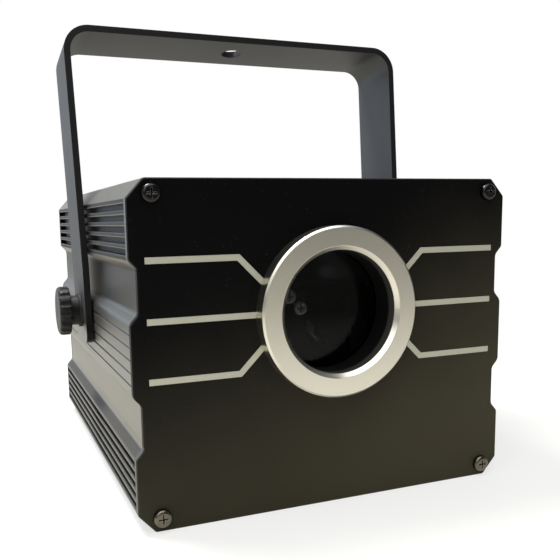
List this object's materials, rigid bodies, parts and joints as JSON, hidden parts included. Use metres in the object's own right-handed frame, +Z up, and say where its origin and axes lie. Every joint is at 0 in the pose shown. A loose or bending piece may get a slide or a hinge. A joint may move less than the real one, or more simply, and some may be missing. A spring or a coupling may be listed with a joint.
{
  "type": "laser show projector",
  "caption": "Box-shaped stage laser projector: finned aluminium tube body, black end panels, a round silver aperture ring, a tilting U bracket with fluted knobs.",
  "frame": {"origin": "middle of the flat underside of the housing, at mid width and mid depth, under the bracket's pivots", "axes": "+Z up, the light leaves along -Y, +X to the right seen from the front"},
  "size_m": [0.1916, 0.2077, 0.2045],
  "materials": {
    "tube_anodised": "dark grey anodised extrusion, satin",
    "panel_black": "black satin paint",
    "ring_silver": "turned, bright satin",
    "bracket_black": "black satin powder coat",
    "screw_steel": "nickel plated",
    "window_clear": "clear coated glass",
    "seal_rubber": "black rubber",
    "knob_black": "black moulded plastic",
    "nylon_black": "black nylon",
    "brass": "plain brass",
    "optics_black": "black anodised",
    "bench_metal": "plain sheet",
    "shaft_steel": "ground steel",
    "mirror": "front coated mirror",
    "board_green": "green circuit board",
    "fan_plastic": "black plastic",
    "guard_wire": "plated wire",
    "inlet_plastic": "black plastic",
    "fuse_glass": "glass tube",
    "socket_metal": "black plated die casting",
    "digits_black": "dark moulded digit block",
    "display_red": "dark red window",
    "button_black": "black plastic caps"
  },
  "bodies": {
    "housing": {"housing_extrusion": "tube_anodised", "front_panel": "panel_black", "rear_panel": "panel_black", "aperture_ring": "ring_silver", "ring_nut": "ring_silver", "front_screws": "screw_steel", "rear_screws": "screw_steel", "fan_screws": "screw_steel", "dmx_screws": "screw_steel", "galvo_screws": "screw_steel", "window_glass": "window_clear", "window_gasket": "seal_rubber", "pivot_washers": "nylon_black", "pivot_inserts": "brass", "dmx_in_pins": "brass", "inlet_pins": "brass", "board_standoffs": "brass", "galvo_block": "optics_black", "mirror_holders": "optics_black", "red_laser": "optics_black", "green_laser": "optics_black", "blue_laser": "optics_black", "optical_bench": "bench_metal", "galvo_motor_x": "bench_metal", "galvo_motor_y": "bench_metal", "power_supply": "bench_metal", "combiner_mirrors": "mirror", "galvo_driver_board": "board_green", "laser_driver_board": "board_green", "control_board": "board_green", "display_board": "board_green", "fan_frame": "fan_plastic", "fan_guard": "guard_wire", "power_inlet": "inlet_plastic", "switch_body": "inlet_plastic", "dmx_out_insert": "inlet_plastic", "dmx_in_socket": "socket_metal", "dmx_out_socket": "socket_metal", "display_digits": "digits_black", "display_window": "display_red"},
    "bracket": {"bracket": "bracket_black"},
    "knob_left": {"knob_left": "knob_black", "knob_left_stud": "screw_steel", "knob_left_washer": "nylon_black"},
    "knob_right": {"knob_right": "knob_black", "knob_right_stud": "screw_steel", "knob_right_washer": "nylon_black"},
    "fan_rotor": {"fan_rotor": "fan_plastic"},
    "scanner_x": {"galvo_shaft_x": "shaft_steel", "galvo_mirror_x": "mirror"},
    "scanner_y": {"galvo_shaft_y": "shaft_steel", "galvo_mirror_y": "mirror"},
    "switch_rocker": {"switch_rocker": "inlet_plastic"},
    "fuse_drawer": {"fuse_drawer": "inlet_plastic", "fuse": "fuse_glass"},
    "dmx_out_latch": {"dmx_out_latch": "socket_metal"},
    "menu_button_1": {"menu_button_1": "button_black"},
    "menu_button_2": {"menu_button_2": "button_black"},
    "menu_button_3": {"menu_button_3": "button_black"},
    "menu_button_4": {"menu_button_4": "button_black"}
  },
  "joints": [
    {"name": "bracket_tilt", "type": "hinge", "parent": "housing", "child": "bracket", "pos_m": [0, 0, 0.0735], "axis": [1, 0, 0], "range_deg": [-98.8, 111.2]},
    {"name": "knob_left_turn", "type": "hinge", "parent": "housing", "child": "knob_left", "pos_m": [-0.0862, 0, 0.0735], "axis": [-1, 0, 0], "range_deg": [0, 360]},
    {"name": "knob_right_turn", "type": "hinge", "parent": "housing", "child": "knob_right", "pos_m": [0.0862, 0, 0.0735], "axis": [1, 0, 0], "range_deg": [0, 360]},
    {"name": "fan_spin", "type": "hinge", "parent": "housing", "child": "fan_rotor", "pos_m": [0.038, 0.087, 0.088], "axis": [0, 1, 0], "continuous": true},
    {"name": "scanner_x_swing", "type": "hinge", "parent": "housing", "child": "scanner_x", "pos_m": [0.0015, -0.0735, 0.065], "axis": [0, 1, 0], "range_deg": [-15, 15]},
    {"name": "scanner_y_swing", "type": "hinge", "parent": "housing", "child": "scanner_y", "pos_m": [0.0015, -0.0735, 0.0785], "axis": [1, 0, 0], "range_deg": [-15, 15]},
    {"name": "rocker_tip", "type": "hinge", "parent": "housing", "child": "switch_rocker", "pos_m": [0.0165, 0.0985, 0.0305], "axis": [1, 0, 0], "range_deg": [0, 18]},
    {"name": "fuse_drawer_slide", "type": "slide", "parent": "housing", "child": "fuse_drawer", "axis": [0, 1, 0], "range_m": [0, 0.018]},
    {"name": "latch_press", "type": "slide", "parent": "housing", "child": "dmx_out_latch", "axis": [0, 0, -1], "range_m": [0, 0.0012], "stiffness_N_per_m": 500, "springref_m": -0.0005},
    {"name": "menu_button_1_press", "type": "slide", "parent": "housing", "child": "menu_button_1", "axis": [0, -1, 0], "range_m": [0, 0.0008], "stiffness_N_per_m": 400, "springref_m": -0.0005},
    {"name": "menu_button_2_press", "type": "slide", "parent": "housing", "child": "menu_button_2", "axis": [0, -1, 0], "range_m": [0, 0.0008], "stiffness_N_per_m": 400, "springref_m": -0.0005},
    {"name": "menu_button_3_press", "type": "slide", "parent": "housing", "child": "menu_button_3", "axis": [0, -1, 0], "range_m": [0, 0.0008], "stiffness_N_per_m": 400, "springref_m": -0.0005},
    {"name": "menu_button_4_press", "type": "slide", "parent": "housing", "child": "menu_button_4", "axis": [0, -1, 0], "range_m": [0, 0.0008], "stiffness_N_per_m": 400, "springref_m": -0.0005}
  ]
}
